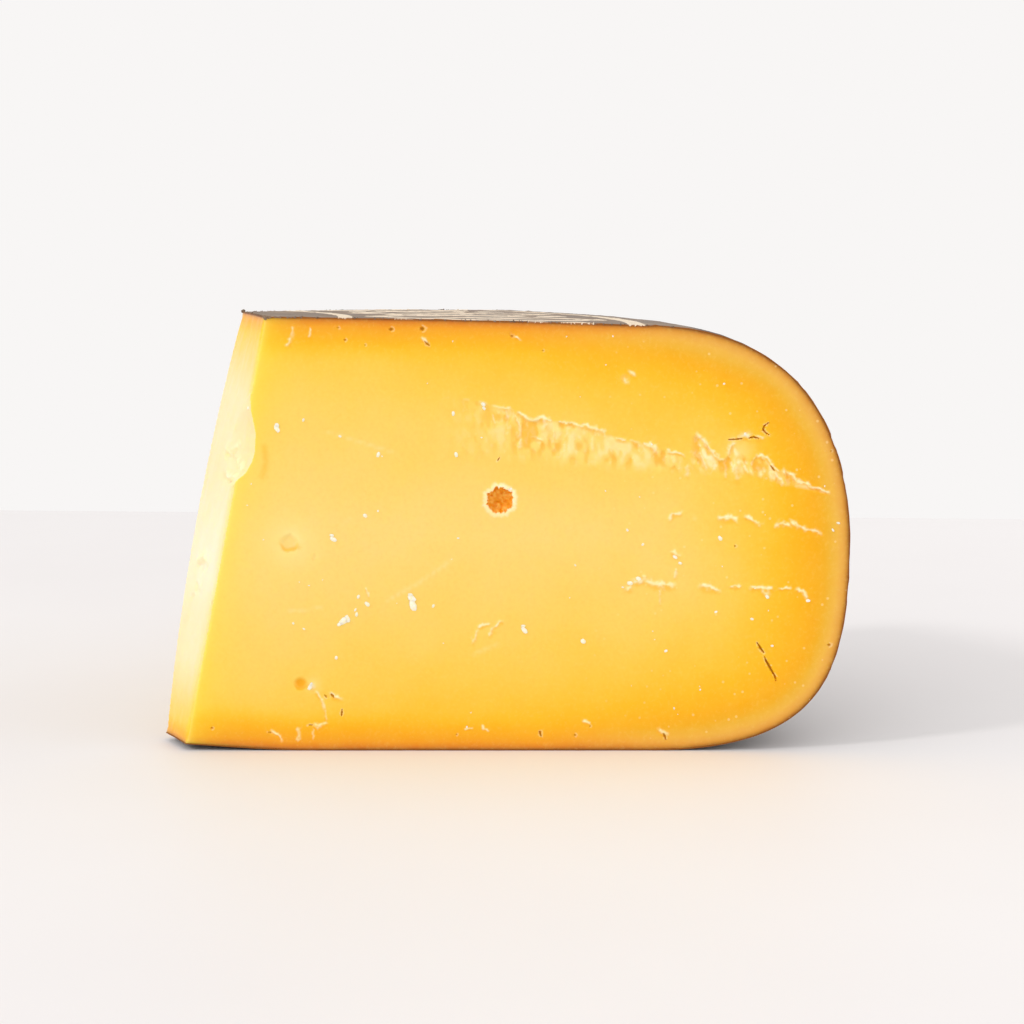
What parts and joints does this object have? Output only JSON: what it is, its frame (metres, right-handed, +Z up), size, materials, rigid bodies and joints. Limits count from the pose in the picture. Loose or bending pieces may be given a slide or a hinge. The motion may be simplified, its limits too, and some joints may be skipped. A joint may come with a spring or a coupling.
{
  "type": "cheese wedge",
  "caption": "Wedge of hard yellow cheese cut from a round wheel, with a rounded rim, a squared-off nose and a thin dark coat on top, rim and base.",
  "frame": {"origin": "under the middle of the wedge's bounding box, on the surface it stands on", "axes": "+X along the front cut from the nose to the rim, +Y into the wedge from the front cut, +Z up along the cheese wheel's axis"},
  "size_m": [0.1782, 0.1352, 0.1122],
  "materials": {
    "cheese_paste": "semi-moist cut cheese, satin",
    "rind_coat": "thin dark grey cheese coating, satin"
  },
  "bodies": {
    "root": {"cheese_paste": "cheese_paste", "rind_coat": "rind_coat"}
  },
  "joints": []
}
